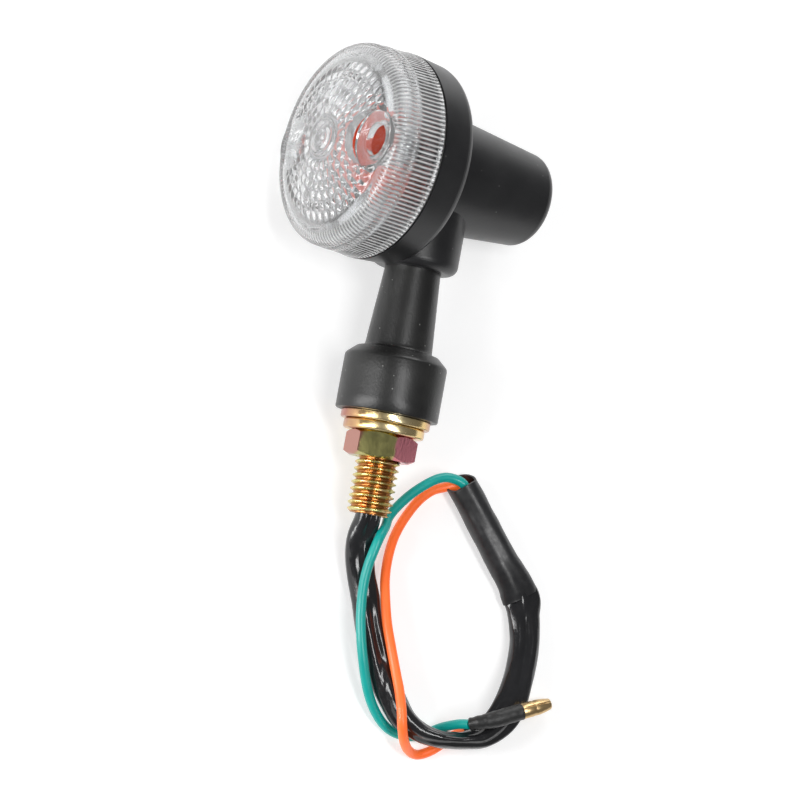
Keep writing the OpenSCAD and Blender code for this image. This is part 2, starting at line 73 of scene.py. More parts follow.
# ---------------------------------------------------------------- camera
FOCAL_PX = 2664.0
EYE = SHIFT + Vector((123.0, -161.6, 563.9)) * MM
FORWARD = Vector((-0.242, 0.274, -0.931)).normalized()
RIGHT = Vector((-0.139, 0.940, 0.312)).normalized()
DOWN = FORWARD.cross(RIGHT)
AIM = (FORWARD * FOCAL_PX - RIGHT * 3.4 + DOWN * 72.8).normalized()

cam_data = bpy.data.cameras.new("camera")
cam_data.sensor_width = 36.0
cam_data.lens = FOCAL_PX / 800.0 * 36.0
cam_data.clip_start = 0.01
camera = bpy.data.objects.new("camera", cam_data)
bpy.context.scene.collection.objects.link(camera)
across = (RIGHT - AIM * RIGHT.dot(AIM)).normalized()
camera.matrix_world = Matrix((across, -AIM.cross(across), -AIM)).transposed().to_4x4()
camera.matrix_world.translation = EYE
bpy.context.scene.camera = camera


# ---------------------------------------------------------------- mesh helpers
def add_mesh(name, verts, faces, material, smooth=40.0, place=None, scale=MM):
    """A mesh object from vertices in millimetres, put in place and shaded smooth below an angle."""
    mesh = bpy.data.meshes.new(name)
    m = place or Matrix.Identity(4)
    mesh.from_pydata([m @ (Vector(v) * scale) for v in verts], [], faces)
    mesh.validate()
    bm = bmesh.new()
    bm.from_mesh(mesh)
    bmesh.ops.recalc_face_normals(bm, faces=bm.faces)
    bm.to_mesh(mesh)
    bm.free()
    obj = bpy.data.objects.new(name, mesh)
    bpy.context.scene.collection.objects.link(obj)
    if material:
        mesh.materials.append(material)
    shade(obj, smooth)
    return obj


def shade(obj, angle):
    """Smooth shading, with edges sharper than the angle left crisp."""
    bm = bmesh.new()
    bm.from_mesh(obj.data)
    limit = math.radians(angle)
    for f in bm.faces:
        f.smooth = True
    for e in bm.edges:
        e.smooth = len(e.link_faces) != 2 or e.calc_face_angle(0.0) < limit
    bm.to_mesh(obj.data)
    bm.free()


def grid_faces(rows, cols, closed=True, first=0):
    last = cols if closed else cols - 1
    return [(first + i * cols + j, first + i * cols + (j + 1) % cols,
             first + (i + 1) * cols + (j + 1) % cols, first + (i + 1) * cols + j)
            for i in range(rows - 1) for j in range(last)]


def turned(profile, sides):
    """A closed ring turned about Z from a closed outline of (r, z), as (vertices, faces)."""
    verts, faces, n = [], [], len(profile)
    for j in range(sides):
        a = 2 * math.pi * j / sides
        verts += [(r * math.cos(a), r * math.sin(a), z) for r, z in profile]
    for j in range(sides):
        k = (j + 1) % sides
        faces += [(j * n + i, j * n + (i + 1) % n, k * n + (i + 1) % n, k * n + i) for i in range(n)]
    return verts, faces


def arc(x, y, r, a0, a1, steps=6):
    return [(x + r * math.cos(math.radians(a0 + (a1 - a0) * i / steps)),
             y + r * math.sin(math.radians(a0 + (a1 - a0) * i / steps))) for i in range(steps + 1)]


def boolean(obj, tool, operation="DIFFERENCE"):
    mod = obj.modifiers.new("cut", "BOOLEAN")
    mod.object = tool
    mod.operation = operation
    mod.solver = "EXACT"
    bpy.context.view_layer.update()
    made = bpy.data.meshes.new_from_object(obj.evaluated_get(bpy.context.evaluated_depsgraph_get()))
    obj.modifiers.clear()
    obj.data = made
    bpy.data.objects.remove(tool)


def rows_at(rows, u):
    """Catmull-Rom along rows of numbers; u runs from 0 to 1."""
    n = len(rows)
    x = max(0.0, min(1.0, u)) * (n - 1)
    i = min(int(x), n - 2)
    t = x - i
    a, b, c, d = rows[max(0, i - 1)], rows[i], rows[i + 1], rows[min(n - 1, i + 2)]
    return [0.5 * (2 * q + (r - p) * t + (2 * p - 5 * q + 4 * r - s) * t * t
                   + (3 * q - p - 3 * r + s) * t ** 3) for p, q, r, s in zip(a, b, c, d)]


def sweep(rows, rings, sides, relief=None, cut=(0.0, 1.0)):
    """Rings along rows of [x, y, z, half width, half height]; returns (list of rings, centreline)."""
    us = [cut[0] + (cut[1] - cut[0]) * k / (rings - 1) for k in range(rings)]
    at = [rows_at(rows, u) for u in us]
    centre = [Vector(p[:3]) for p in at]
    made = []
    for k, p in enumerate(at):
        along = (centre[min(k + 1, rings - 1)] - centre[max(k - 1, 0)]).normalized()
        ref = Vector((0, 1, 0)) if abs(along.z) > 0.9 else Vector((0, 0, 1))
        side = along.cross(ref).normalized()
        up = side.cross(along)
        ring = []
        for j in range(sides):
            a = 2 * math.pi * (j + 0.5) / sides
            g = relief(us[k], a) if relief else 0.0
            ring.append(centre[k] + side * (p[3] + g) * math.cos(a) + up * (p[4] + g) * math.sin(a))
        made.append(ring)
    return made, centre


def tube_mesh(rings, capped=(True, True)):
    sides = len(rings[0])
    verts = [v for ring in rings for v in ring]
    faces = grid_faces(len(rings), sides)
    if capped[0]:
        faces.append(tuple(range(sides - 1, -1, -1)))
    if capped[1]:
        faces.append(tuple(range((len(rings) - 1) * sides, len(rings) * sides)))
    return verts, faces


def hollow_mesh(rings, wall, depth):
    """A tube with a cap at its first ring and an open mouth at its last, hollow for some rings back."""
    outer = list(rings)
    inner = []
    for k in range(len(rings) - 1, len(rings) - 1 - depth, -1):
        mid = sum(rings[k], Vector()) / len(rings[k])
        inner.append([mid + (v - mid) * (1 - wall / max((v - mid).length, wall * 2)) for v in rings[k]])
    return tube_mesh(outer + inner)


# ---------------------------------------------------------------- materials
def new_material(name):
    m = bpy.data.materials.new(name)
    m.use_nodes = True
    nodes, links = m.node_tree.nodes, m.node_tree.links
    return m, nodes, links, nodes["Principled BSDF"]


def put(nodes, kind, **inputs):
    n = nodes.new(kind)
    for key, value in inputs.items():
        n.inputs[key.replace("_", " ")].default_value = value
    return n


def object_coords(nodes, links, stretch=None):
    out = nodes.new("ShaderNodeTexCoord").outputs["Object"]
    if stretch:
        mapping = nodes.new("ShaderNodeMapping")
        mapping.inputs["Scale"].default_value = stretch
        links.new(out, mapping.inputs["Vector"])
        out = mapping.outputs["Vector"]
    return out


def noise_out(nodes, links, coords, scale, detail=3.0, rough=0.55):
    n = put(nodes, "ShaderNodeTexNoise", Scale=scale, Detail=detail, Roughness=rough)
    links.new(coords, n.inputs["Vector"])
    return n.outputs["Fac"]


def ramp_out(nodes, links, factor, stops):
    r = nodes.new("ShaderNodeValToRGB")
    while len(r.color_ramp.elements) < len(stops):
        r.color_ramp.elements.new(0.5)
    for e, (pos, col) in zip(r.color_ramp.elements, stops):
        e.position = pos
        e.color = (*col, 1.0) if len(col) == 3 else col
    links.new(factor, r.inputs["Fac"])
    return r.outputs["Color"]


def range_out(nodes, links, factor, low, high, start=0.3, end=0.7):
    n = nodes.new("ShaderNodeMapRange")
    for key, value in (("From Min", start), ("From Max", end), ("To Min", low), ("To Max", high)):
        n.inputs[key].default_value = value
    links.new(factor, n.inputs["Value"])
    return n.outputs["Result"]


def bump_to(nodes, links, bsdf, height, distance, strength=1.0, before=None):
    b = put(nodes, "ShaderNodeBump", Strength=strength, Distance=distance)
    links.new(height, b.inputs["Height"])
    if before:
        links.new(before, b.inputs["Normal"])
    if bsdf:
        links.new(b.outputs["Normal"], bsdf.inputs["Normal"])
    return b.outputs["Normal"]


def moulded(name, dark, light, rough, grain, depth, specks=0.0, metallic=0.0, coat=0.0, painted_glow=0.0):
    """Moulded plastic, rubber or plain metal: mottled colour, uneven gloss, a fine skin and stray dust; any
    emission is a painted glow, not a lamp.
    """
    m, nodes, links, bsdf = new_material(name)
    co = object_coords(nodes, links)
    wide = noise_out(nodes, links, co, 90.0)
    fine = noise_out(nodes, links, co, grain, 4.0, 0.6)
    colour = ramp_out(nodes, links, wide, [(0.3, dark), (0.7, light)])
    if specks:
        v = put(nodes, "ShaderNodeTexVoronoi", Scale=420.0)
        links.new(co, v.inputs["Vector"])
        spot = nodes.new("ShaderNodeMath")
        spot.operation = "LESS_THAN"
        spot.inputs[1].default_value = specks
        links.new(v.outputs["Distance"], spot.inputs[0])
        mix = nodes.new("ShaderNodeMix")
        mix.data_type = "RGBA"
        mix.inputs[7].default_value = (0.22, 0.22, 0.21, 1)
        links.new(spot.outputs[0], mix.inputs[0])
        links.new(colour, mix.inputs[6])
        colour = mix.outputs[2]
    links.new(colour, bsdf.inputs["Base Color"])
    links.new(range_out(nodes, links, wide, rough - 0.05, rough + 0.06), bsdf.inputs["Roughness"])
    bump_to(nodes, links, bsdf, fine, depth)
    bsdf.inputs["Metallic"].default_value = metallic
    bsdf.inputs["Coat Weight"].default_value = coat
    bsdf.inputs["Coat Roughness"].default_value = 0.12
    # Emission in the light colour is a painted glow that brightens the piece, which is no lamp.
    bsdf.inputs["Emission Color"].default_value = (*light, 1)
    bsdf.inputs["Emission Strength"].default_value = painted_glow
    return m


def threaded_zinc(name):
    """Yellow zinc on a thread: gold crests with pink and green bands, red-brown in the grooves."""
    m, nodes, links, bsdf = new_material(name)
    co = object_coords(nodes, links)
    cloud = noise_out(nodes, links, co, 330.0, 3.0, 0.6)
    crest = ramp_out(nodes, links, cloud, [(0.28, (0.60, 0.30, 0.12)), (0.42, (0.84, 0.62, 0.26)),
                                           (0.52, (0.62, 0.62, 0.26)), (0.62, (0.88, 0.68, 0.34)),
                                           (0.76, (0.62, 0.28, 0.20))])
    depth = nodes.new("ShaderNodeAttribute")
    depth.attribute_name = "groove"
    mix = nodes.new("ShaderNodeMix")
    mix.data_type = "RGBA"
    mix.inputs[6].default_value = (0.46, 0.19, 0.06, 1)
    links.new(range_out(nodes, links, depth.outputs["Fac"], 0.0, 1.0, 0.0, 0.55), mix.inputs[0])
    links.new(crest, mix.inputs[7])
    links.new(mix.outputs[2], bsdf.inputs["Base Color"])
    links.new(range_out(nodes, links, cloud, 0.2, 0.34), bsdf.inputs["Roughness"])
    bump_to(nodes, links, bsdf, noise_out(nodes, links, co, 1500.0, 3.0), 0.00002)
    bsdf.inputs["Metallic"].default_value = 1.0
    return m


MOTTLE = 0.2                                        # how far the clouds shift a tone along a zinc piece


def zinc(name, tones, scale=240.0, rough=0.24):
    """Yellow passivated zinc: gold that runs into pink and green in clouds as the film's thickness changes,
    over tones laid along Y across the piece as a painted sheen.
    """
    m, nodes, links, bsdf = new_material(name)
    co = object_coords(nodes, links)
    parts = nodes.new("ShaderNodeSeparateXYZ")
    links.new(co, parts.inputs[0])
    cloud = noise_out(nodes, links, co, scale, 3.0, 0.6)
    add = nodes.new("ShaderNodeMath")
    add.operation = "MULTIPLY_ADD"
    add.inputs[1].default_value = MOTTLE
    links.new(cloud, add.inputs[0])
    # The tones run along Y across the piece: a painted sheen and reflection that stands in for the film's
    # colour changing with the view.
    painted_sheen = range_out(nodes, links, parts.outputs["Y"], 0.0, 1.0, -0.0085, 0.0115)
    links.new(painted_sheen, add.inputs[2])
    less = nodes.new("ShaderNodeMath")
    less.operation = "SUBTRACT"
    less.inputs[1].default_value = MOTTLE / 2
    links.new(add.outputs[0], less.inputs[0])
    links.new(ramp_out(nodes, links, less.outputs[0], tones), bsdf.inputs["Base Color"])
    links.new(range_out(nodes, links, cloud, rough - 0.07, rough + 0.1), bsdf.inputs["Roughness"])
    bump_to(nodes, links, bsdf, noise_out(nodes, links, co, 1600.0, 3.0), 0.00002)
    bsdf.inputs["Metallic"].default_value = 1.0
    return m


def clear_plastic(name, tint, rough=0.03, ior=1.49):
    m, nodes, links, bsdf = new_material(name)
    co = object_coords(nodes, links)
    scuff = noise_out(nodes, links, co, 500.0, 4.0, 0.7)
    gloss = range_out(nodes, links, scuff, rough * 0.5, rough * 2.0, 0.35, 0.75)
    links.new(gloss, bsdf.inputs["Roughness"])
    cloud = noise_out(nodes, links, co, 60.0)
    pale = tuple(min(1.0, c * 1.02) for c in tint)
    links.new(ramp_out(nodes, links, cloud, [(0.3, tint), (0.7, pale)]), bsdf.inputs["Base Color"])
    bump_to(nodes, links, bsdf, cloud, 0.0001, 0.4)
    bsdf.inputs["Transmission Weight"].default_value = 1.0
    bsdf.inputs["IOR"].default_value = ior
    return m


def frosted(name, milk, rough, painted_groove_shade=None):
    """Clear moulding whose worked surface scatters some of the light, with painted shade that darkens the
    scatter between its ridges.
    """
    m, nodes, links, bsdf = new_material(name)
    co = object_coords(nodes, links)
    cloud = noise_out(nodes, links, co, 240.0, 4.0, 0.6)
    links.new(ramp_out(nodes, links, cloud, [(0.3, (0.86, 0.88, 0.89)), (0.7, (0.97, 0.98, 0.98))]),
              bsdf.inputs["Base Color"])
    links.new(range_out(nodes, links, cloud, rough * 0.7, rough * 1.3), bsdf.inputs["Roughness"])
    bsdf.inputs["Transmission Weight"].default_value = 1.0
    bsdf.inputs["IOR"].default_value = 1.49
    white = put(nodes, "ShaderNodeBsdfPrincipled", Roughness=0.25)
    white.inputs["Base Color"].default_value = (0.80, 0.80, 0.80, 1)
    # The scatter's colour runs from dark in each groove to pale on each crest: painted shade.
    if painted_groove_shade:
        ridge = nodes.new("ShaderNodeAttribute")
        ridge.attribute_name = "ridge"
        low, high = ((shade_of,) * 3 for shade_of in painted_groove_shade)
        links.new(ramp_out(nodes, links, ridge.outputs["Fac"], [(0.35, low), (0.75, high)]),
                  white.inputs["Base Color"])
    mix = nodes.new("ShaderNodeMixShader")
    mix.inputs["Fac"].default_value = milk
    links.new(bsdf.outputs["BSDF"], mix.inputs[1])
    links.new(white.outputs["BSDF"], mix.inputs[2])
    links.new(mix.outputs[0], nodes["Material Output"].inputs["Surface"])
    return m


def creased(name, base, rough, run, depth, along):
    """Thin black sleeve: long creases that follow it, with fine ones across."""
    m, nodes, links, bsdf = new_material(name)
    co = object_coords(nodes, links, stretch=along)
    long_folds = noise_out(nodes, links, co, run, 3.0, 0.5)
    plain = object_coords(nodes, links)
    fine = noise_out(nodes, links, plain, 900.0, 3.0, 0.6)
    wide = noise_out(nodes, links, plain, 120.0)
    pale = tuple(c * 1.7 for c in base)
    links.new(ramp_out(nodes, links, wide, [(0.3, base), (0.75, pale)]), bsdf.inputs["Base Color"])
    links.new(range_out(nodes, links, fine, rough - 0.04, rough + 0.1), bsdf.inputs["Roughness"])
    first = bump_to(nodes, links, None, long_folds, depth, 0.7)
    bump_to(nodes, links, bsdf, fine, 0.00003, 0.6, first)
    bsdf.inputs["Specular IOR Level"].default_value = 0.6
    return m


BLACK = moulded("black_plastic", (0.009, 0.009, 0.010), (0.015, 0.015, 0.016), 0.35, 2600.0, 0.00002, 0.045)
RUBBER = moulded("black_rubber", (0.009, 0.009, 0.009), (0.018, 0.018, 0.017), 0.36, 1900.0, 0.00004, 0.06)
GASKET = moulded("gasket", (0.05, 0.05, 0.05), (0.10, 0.10, 0.10), 0.6, 1500.0, 0.00003)
STEEL = moulded("bright_steel", (0.55, 0.56, 0.57), (0.75, 0.76, 0.77), 0.28, 1800.0, 0.00002, metallic=1.0)
SPRING = moulded("spring_steel", (0.40, 0.40, 0.42), (0.62, 0.62, 0.64), 0.3, 2200.0, 0.00001, metallic=1.0)
MIRROR = moulded("reflector", (0.72, 0.73, 0.75), (0.90, 0.91, 0.92), 0.14, 700.0, 0.00004, metallic=1.0)
SOLDER = moulded("solder", (0.42, 0.42, 0.42), (0.60, 0.60, 0.60), 0.4, 900.0, 0.00005, metallic=1.0)
TUNGSTEN = moulded("tungsten", (0.20, 0.20, 0.21), (0.35, 0.35, 0.36), 0.35, 3000.0, 0.00001, metallic=1.0)
FIBRE = moulded("fibre", (0.16, 0.08, 0.04), (0.26, 0.14, 0.07), 0.6, 1400.0, 0.00005)
BRASS = moulded("brass", (0.62, 0.42, 0.16), (0.80, 0.58, 0.26), 0.27, 1500.0, 0.00002, metallic=1.0)
TERMINAL = moulded("brass_terminal", (0.56, 0.38, 0.18), (0.76, 0.56, 0.30), 0.34, 1100.0, 0.00004,
                   metallic=1.0)
# The green and orange leads get a painted glow that brightens them as if lit from within.
GREEN = moulded("green_pvc", (0.000, 0.300, 0.265), (0.004, 0.375, 0.335), 0.40, 1300.0, 0.00002,
                coat=0.15, painted_glow=0.14)
ORANGE = moulded("orange_pvc", (0.960, 0.125, 0.020), (1.000, 0.175, 0.035), 0.40, 1300.0, 0.00002,
                 coat=0.15, painted_glow=0.3)
SHRINK = moulded("heat_shrink", (0.013, 0.013, 0.013), (0.026, 0.026, 0.026), 0.45, 700.0, 0.00012)
SLEEVE = creased("black_pvc", (0.010, 0.010, 0.011), 0.15, 190.0, 0.0007, (0.25, 0.8, 1.0))
SLEEVE_END = creased("sleeve_end", (0.010, 0.010, 0.011), 0.36, 160.0, 0.0003, (0.5, 0.6, 1.0))
CLEAR = clear_plastic("lens_clear", (0.95, 0.96, 0.965))
FACE = frosted("lens_face", 0.16, 0.04)
BOWL = frosted("lens_bowl", 0.22, 0.06)
RING = frosted("lens_ring", 0.22, 0.05)
# The beaded and fluted bands take painted shade, dark between their ridges.
BEADED = frosted("lens_beads", 0.38, 0.05, (0.42, 0.86))
FLUTED = frosted("lens_flutes", 0.58, 0.05, (0.045, 0.9))
AMBER = clear_plastic("amber_glass", (0.95, 0.09, 0.02), 0.05, 1.5)
AMBER_SKIN = AMBER.node_tree.nodes["Principled BSDF"]
AMBER_SKIN.inputs["Transmission Weight"].default_value = 0.35
# A faint painted glow in amber on the bulb glass, though the bulb is not lit.
AMBER_SKIN.inputs["Emission Color"].default_value = (1.0, 0.09, 0.02, 1)
AMBER_SKIN.inputs["Emission Strength"].default_value = 0.05

GOLD, PINK, OLIVE = (0.78, 0.56, 0.24), (0.46, 0.20, 0.155), (0.46, 0.43, 0.17)
MAGENTA, PALE = (0.62, 0.21, 0.25), (0.90, 0.76, 0.46)
ZINC_STUD = threaded_zinc("zinc_stud")
# Painted sheen: these tones are laid along Y across the nut and washers, so each side takes its colour by
# where it lies.
NUT_TONES = [(0.0, PINK), (0.18, PINK), (0.21, OLIVE), (0.53, OLIVE), (0.57, MAGENTA), (1.0, MAGENTA)]
WASHER_TONES = [(0.0, PINK), (0.16, GOLD), (0.5, PALE), (0.84, GOLD), (1.0, PINK)]
ZINC_NUT = zinc("zinc_nut", NUT_TONES, 160.0, 0.20)
ZINC_WASHER = zinc("zinc_washer", WASHER_TONES, 200.0, 0.22)


def finish_piece(obj, body, slot, *nodes):
    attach(obj, body)
    if nodes:
        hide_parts(*nodes)
    return obj


# ---------------------------------------------------------------- leads
# Rows of [x, y, z, half width, half height] in millimetres, as they lie in the CAD model.
SLEEVE_ROUTE = [
    [45.8, 1.5, 8.8, 2.95, 2.95], [49.8, 1.5, 8.2, 2.95, 2.95], [53.4, 1.4, 6.5, 3.3, 2.8],
    [57.2, 1.9, 4.9, 3.4, 2.9], [61.7, 3.1, 3.8, 3.3, 3.1], [67.2, 5.2, 3.4, 3.3, 3.3],
    [73.7, 7.2, 3.4, 3.3, 3.3], [79.2, 9.4, 3.5, 3.3, 3.3], [84.2, 11.9, 3.9, 3.3, 3.3],
    [88.2, 14.4, 4.5, 3.2, 3.3], [91.8, 17.2, 5.3, 2.9, 3.4], [94.1, 20.9, 5.8, 2.4, 3.5],
    [94.9, 24.7, 6, 2.1, 3.6], [94.9, 28.2, 6, 2, 3.6], [94.3, 31.7, 6, 2.1, 3.6],
    [93, 35.2, 6.1, 2.8, 3.2], [90.1, 38.1, 6.2, 3.6, 2.4], [86.4, 40.4, 6.4, 3.9, 2.3],
    [81.6, 42, 5.5, 3.7, 2.7], [76.2, 43.2, 3.9, 3.5, 3.1], [70.2, 43.5, 3.3, 3.5, 3.1],
    [64.7, 42.7, 2.9, 3.8, 2.7], [60.6, 41.9, 2.5, 4.5, 2.2], [57.2, 39.4, 3.1, 3.8, 2.4]]
END_ROUTE = [
    [60.2, 41.4, 2.5, 4.5, 2.3], [57.2, 39.3, 3.1, 4.2, 2.9], [53.2, 35.7, 3.6, 3.8, 3.5],
    [48.2, 31.7, 3.8, 3.7, 3.7], [43.2, 27.9, 3.8, 3.6, 3.6], [37.7, 23.6, 3.8, 3.6, 3.6]]
GREEN_ROUTE = [
    [37.8, 23.7, 4.9], [37, 21.3, 5], [37.2, 18.7, 5.2], [38.8, 15.7, 5.4], [42.2, 11.8, 5.4],
    [45.8, 8.8, 5.4], [48.6, 7.1, 5.7], [51, 6.2, 7.3], [54, 4.6, 9.5], [57.5, 3.7, 9.2],
    [60.7, 3.2, 8.4], [64.2, 3, 7.9], [68.2, 3.1, 7.7], [72.7, 3.6, 7.5], [77.2, 4.5, 7.3],
    [81.2, 5.7, 6.7], [85.2, 7.3, 5.5], [88.7, 9.2, 4.2], [91.8, 11.7, 2.9], [94.1, 14.7, 1.8],
    [95.1, 18.2, 1.2], [94.9, 21.7, 1.1], [93.8, 24.4, 1.2], [92.4, 26.6, 1.9], [91.6, 28.2, 3.9],
    [91.1, 29.8, 6.4], [91, 31.4, 8.8]]
ORANGE_ROUTE = [
    [38, 23.7, 2.6], [38.1, 22.1, 2.6], [38.8, 20.1, 2.4], [40.2, 17.2, 2.3], [43.2, 14.3, 2.3],
    [47.7, 11.7, 2.4], [52.2, 9.9, 2.8], [57.2, 8.9, 3.6], [62.2, 8.6, 4.7], [67.2, 9.1, 5.8],
    [72.2, 10, 6.6], [77.2, 11.4, 7.4], [82.2, 13, 7.9], [86.7, 14.3, 8.8], [90.7, 15.1, 9.6],
    [94.2, 15.9, 9.2], [96.9, 17.6, 6.6], [98.4, 20.1, 3], [98.8, 22.7, 1.3], [97.6, 25.5, 1.1],
    [95.7, 27.9, 1.1], [93.6, 30.1, 1.1], [92, 32.7, 1.2]]
BOOT_GREEN_ROUTE = [
    [91, 31.4, 8.8, 1.4, 1.4], [90.2, 33.6, 10.2, 1.6, 1.6], [89.1, 36.5, 10.9, 1.85, 1.85],
    [87.8, 39.3, 11, 1.85, 1.85], [86.5, 42.2, 10.9, 1.85, 1.85]]
BOOT_ORANGE_ROUTE = [
    [92, 32.7, 1.2, 1.2, 1.2], [90.3, 35.8, 1.6, 1.5, 1.5], [88.2, 39.2, 1.85, 1.85, 1.85],
    [86.8, 42.4, 1.85, 1.85, 1.85], [85.4, 45.5, 1.85, 1.85, 1.85]]
SLEEVE_D, WIRE_D = 6.6, 2.2


def sleeve_relief(u, a):
    """Long creases and shallow dents pressed into a thin sleeve, in millimetres."""
    wander = 1.2 * math.sin(9.0 * u) + 0.8 * math.sin(23.0 * u + 1.0)
    crease = max(0.0, math.cos(a - 1.15 - 0.35 * wander)) ** 26
    second = max(0.0, math.cos(a - 2.15 + 0.30 * wander)) ** 30
    dent = noise.noise(Vector((2.2 * math.cos(a), 2.2 * math.sin(a), 26.0 * u)))
    fold = noise.noise(Vector((1.3 * math.cos(a) + 7.0, 1.3 * math.sin(a), 11.0 * u)))
    return -0.52 * crease - 0.42 * second + 0.13 * dent + 0.16 * fold - 0.10


def end_relief(u, a):
    ridge = max(0.0, math.cos(a - 1.3 - 0.8 * u)) ** 20
    dent = noise.noise(Vector((1.5 * math.cos(a), 1.5 * math.sin(a) + 3.0, 9.0 * u)))
    return -0.22 * ridge + 0.14 * dent - 0.08


rings, sleeve_line = sweep(SLEEVE_ROUTE, 230, 40, sleeve_relief)
lead_sleeve = add_mesh("lead_sleeve_pvc", *tube_mesh(rings), SLEEVE, 60.0)
END_RINGS, SLANTED, SLANT, SLANT_Z = 70, 10, 0.55, 4.6
rings, end_line = sweep(END_ROUTE, END_RINGS, 40, end_relief)
out_of_mouth = (end_line[-1] - end_line[-2]).normalized()
for k, ring in enumerate(rings):                        # the end is cut aslant, so the mouth looks up
    share = max(0.0, (k - (END_RINGS - 1 - SLANTED)) / SLANTED)
    for v in ring:
        v += out_of_mouth * share * max(-0.6, min(2.4, (SLANT_Z - v.z) * SLANT))
end_sleeve = add_mesh("end_sleeve_pvc", *hollow_mesh(rings, 0.45, 26), SLEEVE_END, 60.0)

wires = {}
for colour, route, mat, rows, rise in (("green", GREEN_ROUTE, GREEN, 200, -0.4),
                                       ("orange", ORANGE_ROUTE, ORANGE, 190, 0.3)):
    start = Vector(route[0]) + Vector((2.4, 1.7, rise))     # a little way inside the mouth
    full = [[*start, WIRE_D / 2, WIRE_D / 2]] + [[*p, WIRE_D / 2, WIRE_D / 2] for p in route]
    rings, line = sweep(full, rows, 16)
    wires[colour] = (add_mesh("lead_" + colour, *tube_mesh(rings), mat, 60.0), line)


def boot_relief(u, a):
    ripple = noise.noise(Vector((2.0 * math.cos(a), 2.0 * math.sin(a), 14.0 * u)))
    return 0.07 * ripple + 0.05 * math.sin(40.0 * u) * (1 - u)


def bullet(name, place, heading, pitch):
    """A rolled brass bullet: seam along it, a waist behind the nose, an open end."""
    aim = Vector((math.cos(math.radians(pitch)) * math.cos(math.radians(heading)),
                  math.cos(math.radians(pitch)) * math.sin(math.radians(heading)),
                  math.sin(math.radians(pitch))))
    m = Matrix.Translation(Vector(place) * MM) @ aim.to_track_quat("Z", "Y").to_matrix().to_4x4()
    crimp = [(1.15, 0.0), (1.70, 0.0), (1.75, 0.12), (1.75, 2.5)]
    waist = [(1.70, 2.75), (1.66, 3.0), (1.69, 3.25)]
    nose = [(1.72, 3.5), (1.68, 4.3), (1.55, 5.2), (1.36, 6.2), (1.22, 6.85), (1.10, 7.0), (0.90, 6.95)]
    bore = [(0.80, 6.6), (0.80, 4.4), (1.15, 4.0)]
    outline = crimp + waist + nose + bore
    sides, n = 48, len(outline)
    verts, faces = [], []
    for j in range(sides):
        a = 2 * math.pi * j / sides
        slot = 0.16 if j == 9 else 0.0
        verts += [((r - slot * (r > 1.3)) * math.cos(a), (r - slot * (r > 1.3)) * math.sin(a), z)
                  for r, z in outline]
    for j in range(sides):
        k = (j + 1) % sides
        faces += [(j * n + i, j * n + (i + 1) % n, k * n + (i + 1) % n, k * n + i) for i in range(n)]
    return add_mesh(name, verts, faces, TERMINAL, 35.0, m)


ends = {}
for colour, route, tip in (("green", BOOT_GREEN_ROUTE, ((86.5, 42.2, 10.9), 113.5, -2)),
                           ("orange", BOOT_ORANGE_ROUTE, ((85.4, 45.5, 1.85), 114, 0))):
    rings, line = sweep(route, 60, 24, boot_relief)
    boot = add_mesh("boot_" + colour + "_shrink", *hollow_mesh(rings, 0.3, 4), SHRINK, 60.0)
    ends[colour] = (boot, bullet("bullet_" + colour + "_brass", *tip))

finish_piece(lead_sleeve, "stem", "black_pvc", "lead_sleeve")
finish_piece(end_sleeve, "stem", "sleeve_end", "end_sleeve")
for colour in ("green", "orange"):
    wire, line = wires[colour]
    boot, tip = ends[colour]
    finish_piece(wire, "stem", colour + "_pvc", "wire_" + colour)
    finish_piece(boot, "stem", "heat_shrink", "boot_" + colour)
    finish_piece(tip, "stem", "brass_terminal", "bullet_" + colour)

# ---------------------------------------------------------------- lens
HEAD_R, FRONT_R, CORNER, LENS_BACK, LENS_FRONT, DOME_H, DOME_R = 23.3, 22.9, 3.0, -14.9, -26.7, 3.5, 18.6
DOME_BALL = (DOME_R ** 2 + DOME_H ** 2) / (2 * DOME_H)
DOME_MID = LENS_FRONT - DOME_H + DOME_BALL
WALL = 1.8
SCREW_X = 14.3
SIDE_LEN = LENS_BACK - LENS_FRONT - CORNER
FLUTES = 144
FINE = FLUTES * 5


RELIEF, EYE_R, EYE_PITCH = 0.42, 4.6, 1.9
PILLOWS, ROW_PITCH = (5.4, 18.1), 2.1


def face_relief(r, a):
    """Height of the moulded pattern on the face: rings at the middle, then rows of pillows."""
    if r < EYE_R:
        return RELIEF * (0.5 + 0.5 * math.cos(2 * math.pi * r / EYE_PITCH))
    if r < PILLOWS[0]:
        return 0.05
    if r > PILLOWS[1]:
        return 0.0
    count = 24 if r < 9.6 else 36 if r < 13.8 else 48
    row = (r - PILLOWS[0]) / ROW_PITCH
    shift = 0.5 * (int(row) % 2)
    across = math.sin(math.pi * (((a / (2 * math.pi)) * count + shift) % 1.0))
    along = math.sin(math.pi * (row % 1.0))
    return RELIEF * (max(0.0, across) ** 0.7) * (max(0.0, along) ** 0.7)


def flute(a):
    """1 at the bottom of the groove between two flutes, 0 on a flute's crest."""
    return abs(math.cos(a * FLUTES / 2))


